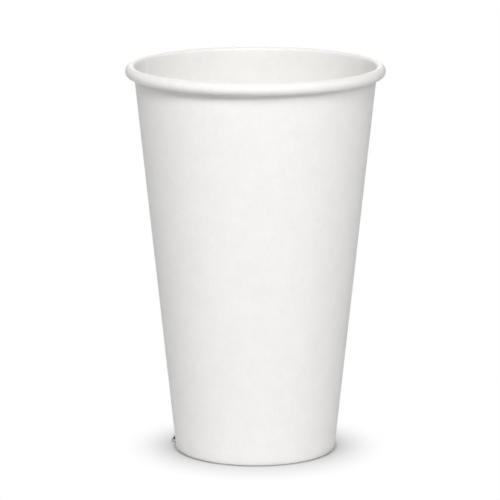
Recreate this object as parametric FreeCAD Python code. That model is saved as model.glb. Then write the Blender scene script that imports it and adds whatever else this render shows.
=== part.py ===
# Paper coffee cup for hot drinks, the tall 16 ounce size, made from two pieces of coated board.
# side_wall is one fan-shaped blank rolled into a cone. Its two straight edges are lapped and sealed in a
# seam, its top edge is curled outwards into the rim, and its bottom edge is folded inwards into a hem.
# base_disc is a round blank with its edge turned down into a skirt, held between the wall and the hem.
# The origin is at the centre of the foot, +Z points up out of the mouth, and sizes are in millimetres.
import FreeCAD, Part
import math
import os

# Overall sizes
cup_height = 136.0
rim_diameter = 90.0         # over the outside of the curled rim
foot_diameter = 56.1        # over the outside of the hem

# Board
wall_board = 0.40           # thickness of the side wall's board
base_board = 0.40           # thickness of the base disc's board

# Curled rim, seen in section
curl_width = 3.25           # from the drinking side of the wall to the outside of the curl
curl_height = 3.9
curl_shoulder = 60.0        # slope at which the curl's top bends over into its side, in degrees
curl_heel = 30.0            # slope at which its side bends under into its bottom, in degrees
curl_gap = 0.05             # least space between the wall and the curl's free edge
curl_tuck = 30.0            # degrees that the free edge turns on past the upright

# Hem and base
fold_radius = 0.45          # outer radius of the two corners of the fold under the hem
hem_depth = 6.6             # how far the folded-in board reaches up from the fold's corners
base_recess = 8.0           # underside of the base disc, above the foot
base_corner_radius = 0.8    # outer radius of the bend between disc and skirt
skirt_clearance = 0.1       # from the fold's corners up to the skirt's lower edge

# Seam
seam_width = 7.5            # width of the lap, just under the rim
seam_step = 1.6             # length over which the outer end climbs onto the inner end
seam_bearing = 158.0        # degrees from +X towards +Y to the edge of the inner end

rim_radius = rim_diameter / 2
foot_radius = foot_diameter / 2

# The curl's outline is three tangent arcs: a top arc from the wall to the shoulder, a flatter side arc
# from the shoulder to the heel, and a bottom arc that tucks the free edge in.
shoulder = math.radians(curl_shoulder)
heel = math.radians(curl_heel)
curl_lower_width = curl_width - wall_board - curl_gap
top_share = (1 - math.sin(shoulder)) / (1 + math.cos(shoulder))
bottom_share = (1 - math.sin(heel)) / (1 + math.cos(heel))
side_arc_radius = (curl_height - top_share * curl_width - bottom_share * curl_lower_width) / (
    math.sin(shoulder) + math.sin(heel)
    - top_share * (1 - math.cos(shoulder)) - bottom_share * (1 - math.cos(heel))
)
top_arc_radius = (curl_width - side_arc_radius * (1 - math.cos(shoulder))) / (1 + math.cos(shoulder))
bottom_arc_radius = (curl_lower_width - side_arc_radius * (1 - math.cos(heel))) / (1 + math.cos(heel))

top_arc_centre = (rim_radius - curl_width + top_arc_radius, cup_height - top_arc_radius)
bottom_arc_centre = (
    rim_radius - curl_lower_width + bottom_arc_radius,
    cup_height - curl_height + bottom_arc_radius,
)
side_arc_centre = (
    rim_radius - side_arc_radius,
    top_arc_centre[1] - (side_arc_radius - top_arc_radius) * math.sin(shoulder),
)

# The wall's outside is a cone from the fold's outer corner to the curl, tangent to both.
outer_corner = (foot_radius - fold_radius, fold_radius)
wall_run = top_arc_centre[0] - outer_corner[0]
wall_rise = top_arc_centre[1] - outer_corner[1]
wall_taper = math.atan2(wall_run, wall_rise) - math.asin(
    (fold_radius + top_arc_radius - wall_board) / math.hypot(wall_run, wall_rise)
)

# At the hem the wall, the skirt and the folded-in board lie against each other, all at the wall's taper.
hem_thickness = 2 * wall_board + base_board
inner_corner = (
    outer_corner[0] - (hem_thickness - 2 * fold_radius) / math.cos(wall_taper),
    fold_radius,
)

# Seam angles, in degrees
seam_radius = rim_radius - curl_width
lap_angle = math.degrees(seam_width / seam_radius)
step_angle = math.degrees(seam_step / seam_radius)


def point(radius, height):
    """A point of the section, drawn in the plane through the cup's axis and +X."""
    return FreeCAD.Vector(radius, 0, height)


def on_arc(centre, radius, angle):
    """The point at an angle in degrees, anticlockwise from straight outwards, on an arc."""
    turn = math.radians(angle)
    return point(centre[0] + radius * math.cos(turn), centre[1] + radius * math.sin(turn))


def in_hem(depth, along):
    """A point of the hem, at a depth below the wall's outside and a way up from the fold's corner."""
    sine, cosine = math.sin(wall_taper), math.cos(wall_taper)
    outward = fold_radius - depth
    return point(
        outer_corner[0] + outward * cosine + along * sine,
        outer_corner[1] - outward * sine + along * cosine,
    )


def arc(centre, radius, start, end):
    """A circular edge of the section, from one angle to another."""
    middle = (start + end) / 2
    return Part.Arc(*(on_arc(centre, radius, a) for a in (start, middle, end))).toShape()


def board_face(lift, inset):
    """One face of the side wall's board in section, from the hem's free edge to the curl's free edge.

    inset is 0 for the face that ends up outside the cup, and the board's thickness for the face that
    holds the drink. lift is 0 for the board itself, and its thickness for the layer lapped over it.
    """
    taper = math.degrees(wall_taper)
    shift = lift / math.cos(wall_taper)
    corner = fold_radius - inset
    inner = wall_board + lift - inset
    arcs = [
        arc((inner_corner[0] - shift, fold_radius), corner, 180 - taper, 270),
        arc((outer_corner[0] + shift, fold_radius), corner, 270, 360 - taper),
        arc(top_arc_centre, top_arc_radius - inner, 180 - taper, curl_shoulder),
        arc(side_arc_centre, side_arc_radius - inner, curl_shoulder, -curl_heel),
        arc(bottom_arc_centre, bottom_arc_radius - inner, -curl_heel, -180 - curl_tuck),
    ]
    ends = [(edge.firstVertex().Point, edge.lastVertex().Point) for edge in arcs]
    hem = Part.makeLine(in_hem(hem_thickness + lift - inset, hem_depth), ends[0][0])
    under_fold = Part.makeLine(ends[0][1], ends[1][0])
    cone = Part.makeLine(ends[1][1], ends[2][0])
    return [hem, arcs[0], under_fold, arcs[1], cone, *arcs[2:]]


def board_outline(lift):
    """The closed outline of the side wall's board in section."""
    outside = board_face(lift, 0)
    drinking_side = board_face(lift, wall_board)
    free_edge = Part.makeLine(outside[-1].lastVertex().Point, drinking_side[-1].lastVertex().Point)
    hem_edge = Part.makeLine(drinking_side[0].firstVertex().Point, outside[0].firstVertex().Point)
    return Part.Wire([*outside, free_edge, *drinking_side[::-1], hem_edge])


def turned(shape, angle):
    """A copy of the shape, turned about the cup's axis."""
    copy = shape.copy()
    copy.rotate(point(0, 0), FreeCAD.Vector(0, 0, 1), angle)
    return copy


def swept(face, start, angle):
    """A face of the section carried round the axis from a bearing through an angle."""
    return turned(face, start).revolve(point(0, 0), FreeCAD.Vector(0, 0, 1), angle)


def side_wall():
    """The rolled, lapped, curled and hemmed blank."""
    single = board_outline(0)
    lapped = board_outline(wall_board)
    two_layers = Part.Face(single).fuse(Part.Face(lapped)).removeSplitter().Faces[0]

    # The outer end climbs from the single layer onto the lapped one over the seam step.
    step_ends = [turned(single, seam_bearing - step_angle), turned(lapped, seam_bearing)]
    step = Part.makeLoft(step_ends, True, True)
    lap = swept(two_layers, seam_bearing, lap_angle)
    rest = swept(Part.Face(single), seam_bearing + lap_angle, 360 - lap_angle - step_angle)
    return rest.fuse([step, lap])


def base_disc():
    """The round blank, with its edge turned down into the skirt."""
    top = base_recess + base_board
    bend_height = top - base_corner_radius
    bend_depth = wall_board + base_corner_radius
    level = in_hem(bend_depth, 0)
    bend_along = (bend_height - level.z) / math.cos(wall_taper)
    bend_centre = (in_hem(bend_depth, bend_along).x, bend_height)
    taper = math.degrees(wall_taper)
    outer_bend = arc(bend_centre, base_corner_radius, 90, -taper)
    inner_bend = arc(bend_centre, base_corner_radius - base_board, -taper, 90)
    skirt = Part.makePolygon([
        outer_bend.lastVertex().Point,
        in_hem(wall_board, skirt_clearance),
        in_hem(wall_board + base_board, skirt_clearance),
        inner_bend.firstVertex().Point,
    ])
    disc = Part.makePolygon([
        inner_bend.lastVertex().Point,
        point(0, base_recess),
        point(0, top),
        outer_bend.firstVertex().Point,
    ])
    outline = Part.Wire([outer_bend, *skirt.Edges, inner_bend, *disc.Edges])
    return swept(Part.Face(outline), 0, 360)


os.makedirs("parts", exist_ok=True)
for name, piece in (("side_wall", side_wall()), ("base_disc", base_disc())):
    piece.exportStep(f"parts/{name}.step")
    box = piece.BoundBox
    print(
        f"{name}: valid {piece.isValid()}, {len(piece.Solids)} solid, {len(piece.Faces)} faces,"
        f" {piece.Volume:.1f} mm3, x {box.XMin:.2f} to {box.XMax:.2f},"
        f" y {box.YMin:.2f} to {box.YMax:.2f}, z {box.ZMin:.2f} to {box.ZMax:.2f}"
    )
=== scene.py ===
"""A white paper coffee cup: a rolled, lapped, curled and hemmed side wall round a base disc."""

import math

import bmesh
import bpy
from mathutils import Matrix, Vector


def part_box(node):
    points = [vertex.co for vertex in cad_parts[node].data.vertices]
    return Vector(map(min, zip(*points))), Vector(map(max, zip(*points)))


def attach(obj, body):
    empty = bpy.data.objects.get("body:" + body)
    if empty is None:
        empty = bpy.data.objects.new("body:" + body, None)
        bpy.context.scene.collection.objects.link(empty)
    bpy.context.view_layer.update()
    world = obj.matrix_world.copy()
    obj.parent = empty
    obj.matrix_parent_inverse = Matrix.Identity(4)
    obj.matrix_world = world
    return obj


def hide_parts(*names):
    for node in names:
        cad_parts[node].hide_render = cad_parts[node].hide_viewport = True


bl_info = {
    "name": "Paper Coffee Cup",
    "version": (1, 0, 0),
    "blender": (4, 5, 0),
    "location": "View3D > Sidebar > Paper Cup",
    "description": "Dresses a rolled paper cup with its board, seam, curl and hem, in a plain studio",
    "category": "Add Mesh",
}

MM = 0.001
BODY = "root"

# Parts along the side wall's section, and columns round it
HEM_PARTS = 8
FOLD_CORNER_PARTS = 5
CONE_PARTS = 44
TOP_ARC_PARTS = 12
SIDE_ARC_PARTS = 8
BOTTOM_ARC_PARTS = 14
LAP_COLUMNS = 12
SINGLE_COLUMNS = 336
CLIMB_COLUMNS = 5

# Parts along the base disc's section, and columns round it
DISC_PARTS = 24
BEND_PARTS = 7
SKIRT_PARTS = 6
BASE_COLUMNS = 240

# Joins between and within the sheets
LAP_GAP = 0.01 * MM             # between the two layers of the lap
LAP_FOLD_GAP = 0.02 * MM        # between the two layers of the fold under the lap
FOLD_MARGIN = 1.01              # the fold's points lie below its radius times this
SAME_LIFT = 1e-3                # lifts closer than this belong to one column
WELD_DISTANCE = 0.001 * MM
SMOOTH_ANGLE = math.radians(35)

# The crimping wheel's ribs round the hem
RIB_PITCH = 4                   # columns from one rib to the next
RIB_WIDTH = 2                   # columns that a rib takes up
RIB_START = 1 * MM              # above the foot
RIB_STOP = 0.6 * MM             # below the top of the hem

# Looks of the board
BOARD_IOR = 1.45
NOISE_LOW, NOISE_HIGH = 0.34, 0.66
GRAIN_HEIGHT = 0.03 * MM
EDGE_GRAIN_HEIGHT = 0.04 * MM

# Each lamp's bearing to the right of the front and height above level, in degrees, and its width
LAMPS = {
    "key": (0, 45, 0.85),
    "near_right": (25, 35, 0.6),
    "near_left": (-30, 50, 0.6),
    "right": (75, 20, 0.6),
    "left": (-75, 35, 0.6),
    "back": (180, 20, 1.4),
    "back_right": (135, 25, 1.4),
    "back_left": (-135, 25, 1.4),
}
LAMP_REACH = 2.4                # from the middle of the cup
CUP_MIDDLE = 70 * MM

# The floor, and how the camera sees the cup's shade on it
FLOOR_SIZE = 12
SHADE_REACH = 20 * MM
SHADE_SAMPLES = 32
SHADE_SET_BACK = 5 * MM         # the side shade's middle lies this far behind the cup's
SIDE_SHADE, SIDE_SHADE_POWER = 1.47, 1.6
FRONT_SHADE = 0.46
CONTACT_START, CONTACT_STOP = 0.2 * MM, 0.9 * MM
CONTACT_SHADE = 0.2
CONTACT_SIDE_LOSS = 0.5         # share of the contact shade that is missing beside the cup

# The floor's paint, which lights the cup from below, with painted shade: near black under the cup,
# rising to its level within a millimetre past the foot
PAINTED_SHADE_START, PAINTED_SHADE_STOP = -0.4 * MM, 0.8 * MM
PAINTED_SHADE_UNDER_CUP, PAINT_LEVEL = 0.02, 0.71

# The camera, in metres, degrees below level, and millimetres of lens and sensor
CAMERA_PLACE = (-1.88 * MM, -1.152, 0.3075)
CAMERA_DIP = 11.624
CAMERA_LENS = 242.4
CAMERA_SENSOR = 36
CAMERA_NEAR = 0.01

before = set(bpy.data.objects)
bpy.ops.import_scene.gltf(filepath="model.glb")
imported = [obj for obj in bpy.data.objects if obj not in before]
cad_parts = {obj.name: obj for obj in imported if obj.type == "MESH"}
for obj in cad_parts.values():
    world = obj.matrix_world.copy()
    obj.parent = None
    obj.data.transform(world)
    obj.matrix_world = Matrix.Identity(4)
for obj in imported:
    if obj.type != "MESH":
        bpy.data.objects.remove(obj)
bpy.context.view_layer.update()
wall_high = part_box("side_wall")[1]
base_low, base_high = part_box("base_disc")


# Properties


class CupSizes(bpy.types.PropertyGroup):
    """Sizes of the two blanks and of the way they are rolled together."""

    board: bpy.props.FloatProperty(
        name="Board", description="Thickness of the coated board",
        default=0.40 * MM, min=0.1 * MM, unit="LENGTH",
    )
    curl_width: bpy.props.FloatProperty(
        name="Curl width", description="From the drinking side of the wall to the outside of the curl",
        default=3.25 * MM, unit="LENGTH",
    )
    curl_height: bpy.props.FloatProperty(
        name="Curl height", description="Height of the curled rim",
        default=3.9 * MM, unit="LENGTH",
    )
    shoulder: bpy.props.FloatProperty(
        name="Curl shoulder", description="Slope at which the curl's top bends over into its side",
        default=math.radians(60), subtype="ANGLE",
    )
    heel: bpy.props.FloatProperty(
        name="Curl heel", description="Slope at which the curl's side bends under into its bottom",
        default=math.radians(30), subtype="ANGLE",
    )
    curl_gap: bpy.props.FloatProperty(
        name="Curl gap", description="Least space between the wall and the curl's free edge",
        default=0.05 * MM, unit="LENGTH",
    )
    curl_tuck: bpy.props.FloatProperty(
        name="Curl tuck", description="How far the curl's free edge turns on past the upright",
        default=math.radians(30), subtype="ANGLE",
    )
    foot: bpy.props.FloatProperty(
        name="Foot diameter", description="Diameter of the foot over the outside of the hem",
        default=56.1 * MM, unit="LENGTH",
    )
    fold: bpy.props.FloatProperty(
        name="Fold radius", description="Radius of the corners of the fold under the hem",
        default=0.45 * MM, unit="LENGTH",
    )
    hem: bpy.props.FloatProperty(
        name="Hem depth", description="How far the folded-in board reaches up from the fold's corners",
        default=6.6 * MM, unit="LENGTH",
    )
    skirt_clearance: bpy.props.FloatProperty(
        name="Skirt clearance", description="From the fold's corners up to the skirt's lower edge",
        default=0.1 * MM, unit="LENGTH",
    )
    base_bend: bpy.props.FloatProperty(
        name="Base bend", description="Outer radius of the bend between the disc and its skirt",
        default=0.8 * MM, unit="LENGTH",
    )
    base_crown: bpy.props.FloatProperty(
        name="Base crown", description="How far the middle of the base disc stands up",
        default=0.25 * MM, unit="LENGTH",
    )
    seam_width: bpy.props.FloatProperty(
        name="Seam width", description="Width of the lap just under the rim",
        default=7.5 * MM, unit="LENGTH",
    )
    seam_step: bpy.props.FloatProperty(
        name="Seam step", description="Length over which the outer end climbs onto the inner end",
        default=1.6 * MM, unit="LENGTH",
    )
    seam_bearing: bpy.props.FloatProperty(
        name="Seam bearing", description="Bearing of the inner end's edge, from +X towards +Y",
        default=math.radians(158), subtype="ANGLE",
    )
    knurl: bpy.props.FloatProperty(
        name="Crimp depth", description="Depth of the crimp marks pressed into the hem",
        default=0.15 * MM, unit="LENGTH",
    )


class CupColours(bpy.types.PropertyGroup):
    """Colours of the board's two faces and its cut edge."""

    outside: bpy.props.FloatVectorProperty(
        name="Outside", description="Bare white face of the board",
        default=(0.908, 0.900, 0.882), subtype="COLOR", min=0, max=1,
    )
    inside: bpy.props.FloatVectorProperty(
        name="Inside", description="Film-coated face that holds the drink",
        default=(0.898, 0.886, 0.869), subtype="COLOR", min=0, max=1,
    )
    cut_edge: bpy.props.FloatVectorProperty(
        name="Cut edge", description="Raw fibres along the cut edges of the board",
        default=(0.80, 0.77, 0.71), subtype="COLOR", min=0, max=1,
    )


class StudioSettings(bpy.types.PropertyGroup):
    """Levels of the studio's lamps, each the share of full light that it gives the cup."""

    sky: bpy.props.FloatProperty(
        name="Sky", description="Level of the light from all round", default=0.01, min=0,
    )
    key: bpy.props.FloatProperty(
        name="Key", description="Level of the wide front lamp", default=0.565, min=0,
    )
    near_right: bpy.props.FloatProperty(
        name="Near right", description="Level of the lamp right of the front", default=0.26, min=0,
    )
    near_left: bpy.props.FloatProperty(
        name="Near left", description="Level of the lamp left of the front", default=0.125, min=0,
    )
    right: bpy.props.FloatProperty(
        name="Right", description="Level of the lamp at the right side", default=0.085, min=0,
    )
    left: bpy.props.FloatProperty(
        name="Left", description="Level of the lamp at the left side", default=0.152, min=0,
    )
    back: bpy.props.FloatProperty(
        name="Back", description="Level of the low lamp behind the cup", default=0.24, min=0,
    )
    back_right: bpy.props.FloatProperty(
        name="Back right", description="Level of the lamp behind the cup, to the right",
        default=0.1, min=0,
    )
    back_left: bpy.props.FloatProperty(
        name="Back left", description="Level of the lamp behind the cup, to the left",
        default=0.115, min=0,
    )


# Shader maths


class Field:
    """A node's output that can be used in a formula."""

    def __init__(self, finish, socket):
        self.finish = finish
        self.socket = socket

    def maths(self, operation, *values):
        return self.finish.node("ShaderNodeMath", {"operation": operation}, dict(enumerate(values)))

    def __add__(self, other):
        return self.maths("ADD", self, other)

    def __radd__(self, other):
        return self.maths("ADD", other, self)

    def __sub__(self, other):
        return self.maths("SUBTRACT", self, other)

    def __rsub__(self, other):
        return self.maths("SUBTRACT", other, self)

    def __mul__(self, other):
        return self.maths("MULTIPLY", self, other)

    def __rmul__(self, other):
        return self.maths("MULTIPLY", other, self)

    def __truediv__(self, other):
        return self.maths("DIVIDE", self, other)


class Finish:
    """A material whose nodes are added one formula at a time."""

    def __init__(self, name):
        self.material = bpy.data.materials.new(name)
        self.material.use_nodes = True
        self.tree = self.material.node_tree
        self.tree.nodes.clear()
        self.output = self.tree.nodes.new("ShaderNodeOutputMaterial")

    def link(self, value, socket):
        """Sets a socket to a plain value, or links a field to it."""
        if isinstance(value, Field):
            self.tree.links.new(value.socket, socket)
        else:
            socket.default_value = value

    def node(self, kind, settings=None, inputs=None, output=0):
        """Adds a node, sets its settings and then its sockets, and gives one of its outputs."""
        node = self.tree.nodes.new(kind)
        for name, value in (settings or {}).items():
            setattr(node, name, value)
        for name, value in (inputs or {}).items():
            self.link(value, node.inputs[name])
        return Field(self, node.outputs[output])

    def position(self, scale=(1, 1, 1)):
        """Object coordinates, stretched along each axis."""
        place = self.node("ShaderNodeTexCoord", output="Object")
        return self.node("ShaderNodeMapping", inputs={"Vector": place, "Scale": scale})

    def noise(self, place, size, detail=2.0, roughness=0.5):
        """Noise from 0 to 1 whose blotches are about size metres across."""
        return self.node("ShaderNodeTexNoise", inputs={
            "Vector": place, "Scale": 1 / size, "Detail": detail, "Roughness": roughness,
        })

    def smooth_step(self, value, low, high, start=0.0, end=1.0):
        """Eases from start to end as value goes from low to high."""
        return self.node("ShaderNodeMapRange", {"interpolation_type": "SMOOTHSTEP"}, {
            "Value": value, "From Min": low, "From Max": high, "To Min": start, "To Max": end,
        })

    def blend(self, factor, first, second):
        """Mixes two colours."""
        return self.node("ShaderNodeMix", {"data_type": "RGBA"}, {
            "Factor": factor, 6: opaque(first), 7: opaque(second),
        }, output=2)

    def surface(self, **sockets):
        """Ends the material in one surface shader with these sockets."""
        shader = self.node("ShaderNodeBsdfPrincipled", inputs={
            name.replace("_", " "): value for name, value in sockets.items()
        })
        self.link(shader, self.output.inputs["Surface"])
        return self.material


def opaque(colour):
    """A colour with full alpha, or a field as it is."""
    return colour if isinstance(colour, Field) else (*colour[:3], 1.0)


def shaded(colour, level):
    """A colour times a level."""
    return [channel * level for channel in colour]


def bare_board(colours):
    """The matt outside face: faint fibre clouds and a fine tooth."""
    finish = Finish("board_outside")
    clouds = finish.noise(finish.position(), 6 * MM, detail=3)
    fibres = finish.noise(finish.position((1, 1, 0.45)), 0.9 * MM, detail=4, roughness=0.7)
    colour = finish.blend(
        finish.smooth_step(0.35 * clouds + 0.65 * fibres, NOISE_LOW, NOISE_HIGH),
        shaded(colours.outside, 0.978), shaded(colours.outside, 1.018),
    )
    tooth = finish.node("ShaderNodeBump", inputs={
        "Strength": 0.5, "Distance": GRAIN_HEIGHT, "Height": fibres,
    })
    return finish.surface(Base_Color=colour, Roughness=0.78, Normal=tooth, IOR=BOARD_IOR)


def coated_board(colours):
    """The film-coated face: the same board under a thin satin film."""
    finish = Finish("board_inside")
    place = finish.position()
    clouds = finish.noise(place, 5 * MM, detail=3)
    ripple = finish.noise(place, 1.2 * MM, detail=3, roughness=0.6)
    colour = finish.blend(
        finish.smooth_step(0.45 * clouds + 0.55 * ripple, NOISE_LOW, NOISE_HIGH),
        shaded(colours.inside, 0.98), shaded(colours.inside, 1.016),
    )
    film = finish.node("ShaderNodeBump", inputs={
        "Strength": 0.35, "Distance": GRAIN_HEIGHT, "Height": ripple,
    })
    return finish.surface(Base_Color=colour, Roughness=0.46, Normal=film, IOR=BOARD_IOR)


def raw_edge(colours):
    """The cut edge: soft layered fibres."""
    finish = Finish("board_cut_edge")
    layers = finish.noise(finish.position(), 0.25 * MM, detail=3)
    colour = finish.blend(layers, shaded(colours.cut_edge, 0.92), shaded(colours.cut_edge, 1.06))
    rough = finish.node("ShaderNodeBump", inputs={
        "Strength": 0.5, "Distance": EDGE_GRAIN_HEIGHT, "Height": layers,
    })
    return finish.surface(Base_Color=colour, Roughness=0.9, Normal=rough, IOR=BOARD_IOR)


def board_finishes(colours):
    """The board's three finishes, in the order of its material slots."""
    if "board_outside" not in bpy.data.materials:
        bare_board(colours)
        coated_board(colours)
        raw_edge(colours)
    names = ("board_outside", "board_inside", "board_cut_edge")
    return [bpy.data.materials[name] for name in names]


# Modelling


def deselect_everything():
    """Leaves edit mode and clears the selection."""
    if bpy.context.object and bpy.context.object.mode != "OBJECT":
        bpy.ops.object.mode_set(mode="OBJECT")
    bpy.ops.object.select_all(action="DESELECT")


class Section:
    """A sheet's section line, drawn in the plane through the cup's axis and +X and then turned."""

    def __init__(self, name, radius, height):
        deselect_everything()
        bpy.ops.mesh.primitive_plane_add(size=MM, enter_editmode=True, location=(0, 0, 0))
        self.piece = bpy.context.object
        self.piece.name = self.piece.data.name = name
        bpy.ops.mesh.select_mode(type="VERT")
        bpy.ops.mesh.select_all(action="SELECT")
        bpy.ops.mesh.merge(type="CENTER")
        bpy.ops.transform.translate(value=(radius, 0, height))
        self.end = (radius, height)

    def line(self, radius, height, parts=1):
        """Draws on to a point, in equal parts."""
        move = ((radius - self.end[0]) / parts, 0, (height - self.end[1]) / parts)
        for _ in range(parts):
            bpy.ops.mesh.extrude_vertices_move(TRANSFORM_OT_translate={"value": move})
        self.end = (radius, height)

    def arc(self, centre, turn, parts):
        """Draws on round a centre. A positive turn goes from upwards to outwards."""
        bpy.ops.mesh.spin(
            steps=parts, angle=-turn, center=(centre[0], 0, centre[1]), axis=(0, 1, 0),
        )
        reach = (self.end[0] - centre[0], self.end[1] - centre[1])
        cosine, sine = math.cos(turn), math.sin(turn)
        self.end = (
            centre[0] + reach[0] * cosine + reach[1] * sine,
            centre[1] - reach[0] * sine + reach[1] * cosine,
        )

    def count(self):
        """How many points the mesh has so far."""
        return len(bmesh.from_edit_mesh(self.piece.data).verts)

    def turn(self, angle, columns):
        """Carries the selected section round the cup's axis and leaves its last copy selected."""
        before = self.count()
        bpy.ops.mesh.spin(steps=columns, angle=-angle, center=(0, 0, 0), axis=(0, 0, 1))
        return range(before, self.count())


def select_points(piece, wanted):
    """Selects the points of a mesh in edit mode for which wanted(index, place) is true."""
    mesh = bmesh.from_edit_mesh(piece.data)
    mesh.verts.ensure_lookup_table()
    for point in mesh.verts:
        point.select = bool(wanted(point.index, point.co))
    mesh.select_flush_mode()
    bmesh.update_edit_mesh(piece.data)


def weigh(piece, name, weight):
    """Adds a vertex group in which each point has the weight that weight(index, place) gives."""
    group = piece.vertex_groups.new(name=name)
    for point in piece.data.vertices:
        group.add([point.index], weight(point.index, point.co), "REPLACE")


def finish_with(piece, kind, **settings):
    """Adds a modifier with these settings and applies it."""
    modifier = piece.modifiers.new(kind.title(), kind)
    for name, value in settings.items():
        setattr(modifier, name, value)
    bpy.ops.object.modifier_apply(modifier=modifier.name)


def thicken(piece, board, finishes):
    """Gives a sheet its thickness away from its outside face, with its finishes and cut edges."""
    for finish in finishes:
        piece.data.materials.append(finish)
    finish_with(
        piece, "SOLIDIFY", thickness=board, offset=-1, use_even_offset=True,
        use_rim=True, material_offset=1, material_offset_rim=2,
    )
    bpy.ops.object.shade_smooth_by_angle(angle=SMOOTH_ANGLE)


def outward_share(piece, low, high):
    """How much the faces between two heights point away from the axis, from -1 to 1."""
    faces = [face for face in piece.data.polygons if low < face.center.z < high]
    total = sum(face.normal.dot((face.center.x, face.center.y, 0)) for face in faces)
    return total / sum(math.hypot(face.center.x, face.center.y) for face in faces)


def face_sheet(piece, low, high, outwards):
    """Makes a sheet's faces agree, with those between two heights facing away from the axis or to it."""
    bpy.ops.object.mode_set(mode="EDIT")
    bpy.ops.mesh.select_all(action="SELECT")
    bpy.ops.mesh.normals_make_consistent(inside=False)
    bpy.ops.object.mode_set(mode="OBJECT")
    if (outward_share(piece, low, high) > 0) != outwards:
        bpy.ops.object.mode_set(mode="EDIT")
        bpy.ops.mesh.select_all(action="SELECT")
        bpy.ops.mesh.flip_normals()
        bpy.ops.object.mode_set(mode="OBJECT")


def dress(piece, node):
    """Hands a finished piece to the frame in place of a node."""
    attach(piece, BODY)
    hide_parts(node)


class Profile:
    """The side wall's section: the curl's three tangent arcs, the cone and the fold's two corners."""

    def __init__(self, sizes, rim_radius, top):
        upper, lower = sizes.curl_width, sizes.curl_width - sizes.board - sizes.curl_gap
        rise, over = math.sin(sizes.shoulder), math.cos(sizes.shoulder)
        drop, under = math.sin(sizes.heel), math.cos(sizes.heel)
        top_share, bottom_share = (1 - rise) / (1 + over), (1 - drop) / (1 + under)
        self.side_radius = (sizes.curl_height - top_share * upper - bottom_share * lower) / (
            rise + drop - top_share * (1 - over) - bottom_share * (1 - under)
        )
        self.top_radius = (upper - self.side_radius * (1 - over)) / (1 + over)
        self.bottom_radius = (lower - self.side_radius * (1 - under)) / (1 + under)
        self.top_centre = (rim_radius - upper + self.top_radius, top - self.top_radius)
        self.bottom_centre = (
            rim_radius - lower + self.bottom_radius,
            top - sizes.curl_height + self.bottom_radius,
        )
        self.side_centre = (
            rim_radius - self.side_radius,
            self.top_centre[1] - (self.side_radius - self.top_radius) * rise,
        )

        self.fold = sizes.fold
        self.outer_corner = (sizes.foot / 2 - sizes.fold, sizes.fold)
        run = self.top_centre[0] - self.outer_corner[0]
        rise = self.top_centre[1] - self.outer_corner[1]
        self.taper = math.atan2(run, rise) - math.asin(
            (sizes.fold + self.top_radius - sizes.board) / math.hypot(run, rise)
        )
        self.sine, self.cosine = math.sin(self.taper), math.cos(self.taper)
        width = (3 * sizes.board - 2 * sizes.fold) / self.cosine
        self.inner_corner = (self.outer_corner[0] - width, sizes.fold)

    def at(self, depth, along):
        """A place at a depth below the wall's outside and a way up from the fold's corner."""
        outward = self.fold - depth
        return (
            self.outer_corner[0] + outward * self.cosine + along * self.sine,
            self.outer_corner[1] - outward * self.sine + along * self.cosine,
        )


def wall_section(sizes, profile):
    """Draws the side wall's section along its outside face, from the hem's edge to the curl's edge."""
    board, right_angle = sizes.board, math.pi / 2
    section = Section("cup_side_wall", *profile.at(3 * board, sizes.hem))
    section.line(*profile.at(3 * board, 0), parts=HEM_PARTS)
    section.arc(profile.inner_corner, -right_angle - profile.taper, FOLD_CORNER_PARTS)
    section.line(profile.outer_corner[0], 0)
    section.arc(profile.outer_corner, profile.taper - right_angle, FOLD_CORNER_PARTS)
    tangent = (
        profile.top_centre[0] - (profile.top_radius - board) * profile.cosine,
        profile.top_centre[1] + (profile.top_radius - board) * profile.sine,
    )
    section.line(*tangent, parts=CONE_PARTS)
    section.arc(profile.top_centre, math.pi - sizes.shoulder - profile.taper, TOP_ARC_PARTS)
    section.arc(profile.side_centre, sizes.shoulder + sizes.heel, SIDE_ARC_PARTS)
    section.arc(profile.bottom_centre, math.pi - sizes.heel + sizes.curl_tuck, BOTTOM_ARC_PARTS)
    return section


def roll(section, lap, climb):
    """Carries the section once round from the inner end, then up the climb and on over the inner end.

    Gives the number of points up to where the lapped inner end stops, and up to where the climb starts.
    """
    bpy.ops.mesh.select_all(action="SELECT")
    section.turn(lap, LAP_COLUMNS)
    inner_end = section.count()
    section.turn(math.tau - lap - climb, SINGLE_COLUMNS)
    once_round = section.count()
    section.turn(climb, CLIMB_COLUMNS)
    section.turn(lap, LAP_COLUMNS)
    bpy.ops.object.mode_set(mode="OBJECT")
    return inner_end, once_round


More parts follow.
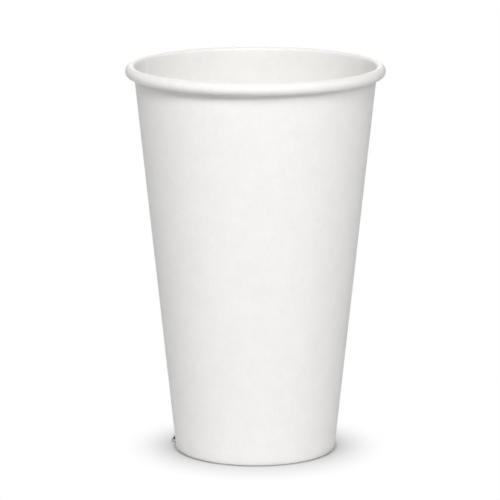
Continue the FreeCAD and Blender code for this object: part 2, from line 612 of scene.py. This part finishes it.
def lift_lap(piece, sizes, profile, climb, inner_end, once_round):
    """Lifts the outer end of a rolled sheet onto its inner end. Leaves the sheet in edit mode."""
    fold_top = sizes.fold * FOLD_MARGIN
    lift = sizes.board + LAP_GAP

    def lifted(index, place):
        if index < once_round:
            return 0.0
        angle = math.atan2(place.y, place.x) % math.tau
        past = angle + math.tau if angle < math.pi else angle
        return min(max((past - math.tau + climb) / climb, 0.0), 1.0)

    def lifted_wall(index, place):
        return lifted(index, place) if place.z > fold_top else 0.0

    weigh(piece, "climb", lifted_wall)
    finish_with(piece, "DISPLACE", vertex_group="climb", strength=lift, mid_level=0)

    # Under the foot the lap stays level with the rest, so its fold only moves sideways.
    bpy.ops.object.mode_set(mode="EDIT")
    inner, outer = profile.inner_corner[0], profile.outer_corner[0]
    middle = (inner + outer) / 2
    weights = {round(lifted(point.index, point.co), 4) for point in piece.data.vertices}
    for weight in sorted(weights - {0.0}):
        for edge, side in ((outer, 1), (inner, -1)):
            def on_fold(index, place, weight=weight, side=side):
                return (
                    index >= once_round and place.z <= fold_top
                    and (math.hypot(place.x, place.y) - middle) * side > 0
                    and abs(lifted(index, place) - weight) < SAME_LIFT
                )
            select_points(piece, on_fold)
            scale = 1 + side * weight * lift / edge
            bpy.ops.transform.resize(value=(scale, scale, 1), center_override=(0, 0, 0))

    # The inner end's fold lies just inside the lap's.
    select_points(piece, lambda index, place: index < inner_end and place.z <= fold_top)
    bpy.ops.transform.translate(value=(0, 0, LAP_FOLD_GAP))


def press_ribs(piece, sizes, profile, rows):
    """Presses the crimping wheel's upright ribs round the hem. Leaves the sheet in object mode."""
    def on_rib(index, place):
        on_hem = math.hypot(place.x, place.y) < profile.at(2 * sizes.board, place.z)[0]
        in_reach = RIB_START < place.z < sizes.hem - RIB_STOP
        return on_hem and in_reach and index // rows % RIB_PITCH < RIB_WIDTH

    select_points(piece, on_rib)
    scale = 1 - sizes.knurl / profile.inner_corner[0]
    bpy.ops.transform.resize(value=(scale, scale, 1), center_override=(0, 0, 0))
    bpy.ops.object.mode_set(mode="OBJECT")


class CUP_OT_side_wall(bpy.types.Operator):
    """Rolls the side wall: one blank with a hem, a tapered wall, a lapped seam and a curled rim"""

    bl_idname = "paper_cup.side_wall"
    bl_label = "Side Wall"

    def execute(self, context):
        sizes = context.scene.cup_sizes
        profile = Profile(sizes, wall_high.x, wall_high.z)
        section = wall_section(sizes, profile)
        rows = section.count()

        seam_radius = wall_high.x - sizes.curl_width
        lap, climb = sizes.seam_width / seam_radius, sizes.seam_step / seam_radius
        inner_end, once_round = roll(section, lap, climb)
        piece = section.piece
        face_sheet(piece, 2 * sizes.hem, profile.bottom_centre[1] - sizes.curl_height, outwards=True)
        lift_lap(piece, sizes, profile, climb, inner_end, once_round)
        press_ribs(piece, sizes, profile, rows)

        thicken(piece, sizes.board, board_finishes(context.scene.cup_colours))
        piece.rotation_euler.z = sizes.seam_bearing
        bpy.ops.object.transform_apply(location=False, rotation=True, scale=False)
        dress(piece, "side_wall")
        return {"FINISHED"}


class CUP_OT_base_disc(bpy.types.Operator):
    """Forms the base disc: a round blank with its edge turned down into a skirt"""

    bl_idname = "paper_cup.base_disc"
    bl_label = "Base Disc"

    def execute(self, context):
        sizes = context.scene.cup_sizes
        board = sizes.board
        profile = Profile(sizes, wall_high.x, wall_high.z)
        underside = base_high.z - board
        bend_height = base_high.z - sizes.base_bend
        bend_depth = board + sizes.base_bend
        bend_along = (bend_height - profile.at(bend_depth, 0)[1]) / profile.cosine
        bend_centre = (profile.at(bend_depth, bend_along)[0], bend_height)

        section = Section("cup_base_disc", 0, underside + sizes.base_crown)
        section.line(bend_centre[0], underside, parts=DISC_PARTS)
        section.arc(bend_centre, math.pi / 2 + profile.taper, BEND_PARTS)
        section.line(*profile.at(2 * board, sizes.skirt_clearance), parts=SKIRT_PARTS)
        bpy.ops.mesh.select_all(action="SELECT")
        section.turn(math.tau, BASE_COLUMNS)
        bpy.ops.mesh.select_all(action="SELECT")
        bpy.ops.mesh.remove_doubles(threshold=WELD_DISTANCE)
        bpy.ops.object.mode_set(mode="OBJECT")
        piece = section.piece
        face_sheet(piece, base_low.z, bend_height, outwards=False)
        thicken(piece, board, board_finishes(context.scene.cup_colours))
        dress(piece, "base_disc")
        return {"FINISHED"}


class CUP_OT_studio(bpy.types.Operator):
    """Sets up the plain floor, the soft lamps and the camera"""

    bl_idname = "paper_cup.studio"
    bl_label = "Studio"

    def execute(self, context):
        studio = context.scene.cup_studio
        self.floor()
        self.world(context.scene, studio.sky)
        for name, (bearing, height, width) in LAMPS.items():
            self.lamp(f"{name}_lamp", bearing, height, getattr(studio, name), width)
        self.camera(context.scene)
        context.scene.view_settings.view_transform = "Standard"
        return {"FINISHED"}

    def floor(self):
        """A white floor with the cup's contact shadow painted in for the camera, and painted shade in
        its paint under the cup and at its foot.
        """
        deselect_everything()
        bpy.ops.mesh.primitive_plane_add(size=FLOOR_SIZE, location=(0, 0, 0))
        floor = bpy.context.object
        floor.name = "floor"
        finish = Finish("floor_white")
        place = finish.node("ShaderNodeTexCoord", output="Object")
        distance = finish.node("ShaderNodeVectorMath", {"operation": "LENGTH"}, {0: place}, "Value")
        seen = finish.node("ShaderNodeLightPath", output="Is Camera Ray")
        shader = finish.node("ShaderNodeMixShader", inputs={
            0: seen, 1: self.floor_paint_and_shade(finish, distance), 2: self.floor_white(finish, place, distance),
        })
        finish.link(shader, finish.output.inputs["Surface"])
        floor.data.materials.append(finish.material)

    def floor_paint_and_shade(self, finish, distance):
        """What the other rays meet: paint that lights the cup from below, with painted shade: near black
        under the cup, rising to its level within a millimetre past the foot.
        """
        foot = base_high.x
        # Painted shade: the paint is near black under the cup and at its foot, where the floor lies in
        # the cup's shade
        level = finish.smooth_step(
            distance, foot + PAINTED_SHADE_START, foot + PAINTED_SHADE_STOP, PAINTED_SHADE_UNDER_CUP, PAINT_LEVEL,
        )
        return finish.node("ShaderNodeBsdfDiffuse", inputs={"Color": level})

    def floor_white(self, finish, place, distance):
        """What the camera sees: white, with a soft shade beside the cup and a thin one at its foot."""
        open_share = finish.node(
            "ShaderNodeAmbientOcclusion", {"samples": SHADE_SAMPLES}, {"Distance": SHADE_REACH}, "AO",
        )
        shut = 1 - open_share
        across = finish.node("ShaderNodeSeparateXYZ", inputs={"Vector": place}, output="X")
        back = finish.node("ShaderNodeSeparateXYZ", inputs={"Vector": place}, output="Y")
        behind = back - SHADE_SET_BACK
        beside = (across * across) / (across * across + behind * behind)
        sides = SIDE_SHADE * shut.maths("POWER", shut, SIDE_SHADE_POWER)
        foot = base_high.x
        line = finish.smooth_step(
            distance, foot + CONTACT_START, foot + CONTACT_STOP, CONTACT_SHADE, 0,
        )
        dark = (
            beside * sides + (1 - beside) * (FRONT_SHADE * shut)
            + (1 - CONTACT_SIDE_LOSS * beside) * line
        )
        return finish.node("ShaderNodeEmission", inputs={"Color": 1 - dark, "Strength": 1})

    def world(self, scene, level):
        """Even light from all round, seen as plain white."""
        world = bpy.data.worlds.new("studio")
        world.use_nodes = True
        scene.world = world
        nodes, links = world.node_tree.nodes, world.node_tree.links
        path = nodes.new("ShaderNodeLightPath")
        strength = nodes.new("ShaderNodeMapRange")
        strength.inputs["To Min"].default_value = level
        strength.inputs["To Max"].default_value = 1
        links.new(path.outputs["Is Camera Ray"], strength.inputs["Value"])
        background = nodes["Background"]
        background.inputs["Color"].default_value = (1, 1, 1, 1)
        links.new(strength.outputs["Result"], background.inputs["Strength"])

    def lamp(self, name, bearing, height, level, width):
        """A soft square lamp at a bearing from the front, to the right, and a height above level.

        Its level at the cup is 1 where it shows a colour as written.
        """
        deselect_everything()
        across, up = math.radians(bearing), math.radians(height)
        place = (
            LAMP_REACH * math.cos(up) * math.sin(across),
            -LAMP_REACH * math.cos(up) * math.cos(across),
            LAMP_REACH * math.sin(up) + CUP_MIDDLE,
        )
        bpy.ops.object.light_add(type="AREA", location=place)
        lamp = bpy.context.object
        lamp.name = lamp.data.name = name
        lamp.rotation_euler = (math.pi / 2 - up, 0, across)
        lamp.data.size = width
        lamp.data.energy = level * (math.pi * LAMP_REACH) ** 2
        lamp.visible_camera = False

    def camera(self, scene):
        """The camera at the photograph's place and angle."""
        deselect_everything()
        bpy.ops.object.camera_add(
            location=CAMERA_PLACE, rotation=(math.radians(90 - CAMERA_DIP), 0, 0),
        )
        camera = bpy.context.object
        camera.data.sensor_width = CAMERA_SENSOR
        camera.data.lens = CAMERA_LENS
        camera.data.clip_start = CAMERA_NEAR
        scene.camera = camera


class CUP_PT_panel(bpy.types.Panel):
    """Lists the cup's pieces and settings in the sidebar"""

    bl_label = "Paper Cup"
    bl_idname = "CUP_PT_panel"
    bl_space_type = "VIEW_3D"
    bl_region_type = "UI"
    bl_category = "Paper Cup"

    def draw(self, context):
        scene = context.scene
        for settings in (scene.cup_sizes, scene.cup_colours, scene.cup_studio):
            box = self.layout.box()
            for name in settings.__annotations__:
                box.prop(settings, name)
        for operator in OPERATORS:
            self.layout.operator(operator.bl_idname)


OPERATORS = (CUP_OT_side_wall, CUP_OT_base_disc, CUP_OT_studio)
CLASSES = (CupSizes, CupColours, StudioSettings, *OPERATORS, CUP_PT_panel)


def register():
    for cls in CLASSES:
        bpy.utils.register_class(cls)
    bpy.types.Scene.cup_sizes = bpy.props.PointerProperty(type=CupSizes)
    bpy.types.Scene.cup_colours = bpy.props.PointerProperty(type=CupColours)
    bpy.types.Scene.cup_studio = bpy.props.PointerProperty(type=StudioSettings)


def unregister():
    del bpy.types.Scene.cup_studio
    del bpy.types.Scene.cup_colours
    del bpy.types.Scene.cup_sizes
    for cls in reversed(CLASSES):
        bpy.utils.unregister_class(cls)


def main():
    register()
    bpy.ops.paper_cup.side_wall()
    bpy.ops.paper_cup.base_disc()
    bpy.ops.paper_cup.studio()


if __name__ == "__main__":
    main()
